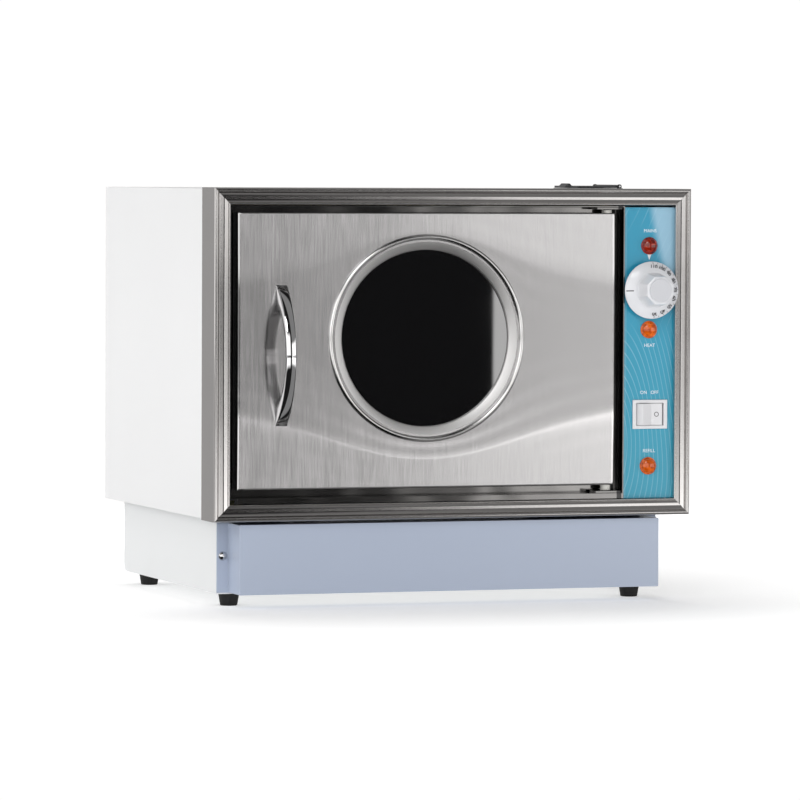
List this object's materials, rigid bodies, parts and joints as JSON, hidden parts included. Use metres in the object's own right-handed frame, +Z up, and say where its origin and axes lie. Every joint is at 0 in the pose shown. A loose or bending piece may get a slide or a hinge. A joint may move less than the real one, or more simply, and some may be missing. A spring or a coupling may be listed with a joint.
{
  "type": "hot towel cabinet",
  "caption": "Countertop steam-heated towel cabinet: hinged door with round window and bow handle, side control panel, plinth with water sump, filler flap and drain cock.",
  "frame": {"origin": "on the surface under the feet, at the middle of the whole object's footprint box", "axes": "+X to the right as seen from the front, +Y to the back, +Z up; the door faces -Y"},
  "size_m": [0.445, 0.404, 0.3727],
  "materials": {
    "white_powder_coat": "satin white powder coat",
    "galvanised_sheet": "galvanised, matt",
    "plated_screws": "bright plated",
    "polished_moulding": "polished stainless moulding",
    "polished_sheet": "polished stainless sheet",
    "polished_ring": "polished stainless ring",
    "brushed_door": "vertical fine brushing",
    "chamber_steel": "bright annealed stainless",
    "grey_silicone": "matt",
    "black_rubber": "matt",
    "bonded_magnet": "matt",
    "glass_wool": "lagging",
    "element_sheath": "oxidised sheath",
    "yellow_brass": "machined",
    "nickelled_brass": "nickel plated",
    "copper_tube": "drawn",
    "black_moulding": "moulded",
    "dark_flap": "moulded, fine grain",
    "red_lever": "dipped",
    "plinth_white": "satin powder coat",
    "pale_blue_cover": "semi-gloss pale blue",
    "teal_overlay": "printed gloss overlay",
    "red_lens": "clear tinted, faceted inside",
    "amber_lens": "clear tinted, faceted inside",
    "white_knob": "gloss moulding",
    "white_switch": "gloss moulding",
    "white_nylon": "natural nylon",
    "black_glass": "dark toughened glass",
    "chromed_handle": "bright chrome plate"
  },
  "bodies": {
    "cabinet": {"amber_lamp_lenses": "amber_lens", "bezel_rails": "polished_moulding", "bezel_stiles": "polished_moulding", "case_bottom_plate": "galvanised_sheet", "case_wrap": "white_powder_coat", "chamber_liner": "chamber_steel", "compartment_wall": "galvanised_sheet", "control_panel_overlay": "teal_overlay", "control_panel_plate": "galvanised_sheet", "cover_screws": "plated_screws", "door_gasket": "grey_silicone", "door_surround": "polished_sheet", "drain_cock_body": "nickelled_brass", "feet": "black_rubber", "filler_funnel": "black_moulding", "filler_tube": "grey_silicone", "flap_hinge_pin": "plated_screws", "foot_screws": "plated_screws", "heating_element": "element_sheath", "hinge_brackets": "polished_sheet", "hinge_pins": "polished_sheet", "inlet_pins": "nickelled_brass", "insulation_slabs": "glass_wool", "lamp_holders": "black_moulding", "low_water_probe": "chamber_steel", "magnet_strip": "bonded_magnet", "plinth_front_cover": "pale_blue_cover", "plinth_shell": "plinth_white", "power_inlet": "black_moulding", "power_lamp_lens": "red_lens", "rack_rails": "chamber_steel", "rear_panel": "white_powder_coat", "rear_panel_screws": "plated_screws", "steam_plate": "chamber_steel", "sump_pan": "chamber_steel", "switch_housing": "white_switch", "terminal_block": "white_nylon", "thermal_cutout": "black_moulding", "thermostat_body": "black_moulding", "thermostat_bulb": "copper_tube", "towel_rack": "chamber_steel", "wiring_loom": "black_rubber"},
    "door": {"door_skin": "brushed_door", "door_inner_pan": "chamber_steel", "door_core": "glass_wool", "hinge_bushes": "white_nylon", "window_ring": "polished_ring", "window_glass": "black_glass", "window_gasket": "black_rubber", "window_clamp_ring": "chamber_steel", "clamp_ring_screws": "plated_screws", "door_handle": "chromed_handle", "handle_screws": "plated_screws"},
    "thermostat_dial": {"thermostat_knob": "white_knob", "knob_cap": "white_knob", "thermostat_spindle": "yellow_brass"},
    "mains_rocker": {"rocker": "white_switch"},
    "filler_lid": {"filler_flap": "dark_flap"},
    "drain_tap": {"drain_stem": "nickelled_brass", "drain_lever": "red_lever"}
  },
  "joints": [
    {"name": "door_hinge", "type": "hinge", "parent": "cabinet", "child": "door", "pos_m": [0.146, -0.165, 0.2258], "axis": [0, 0, 1], "range_deg": [0, 110]},
    {"name": "thermostat_turn", "type": "hinge", "parent": "cabinet", "child": "thermostat_dial", "pos_m": [0.1844, -0.177, 0.2783], "axis": [0, -1, 0], "range_deg": [0, 267]},
    {"name": "rocker_tip", "type": "hinge", "parent": "cabinet", "child": "mains_rocker", "pos_m": [0.1856, -0.1668, 0.1673], "axis": [0, 0, 1], "range_deg": [-24, 0]},
    {"name": "filler_lid_hinge", "type": "hinge", "parent": "cabinet", "child": "filler_lid", "pos_m": [0.206, -0.0105, 0.3702], "axis": [0, 1, 0], "range_deg": [0, 105]},
    {"name": "drain_tap_turn", "type": "hinge", "parent": "cabinet", "child": "drain_tap", "pos_m": [-0.06, 0.1702, 0.07], "axis": [0, 0, 1], "range_deg": [0, 90]}
  ]
}
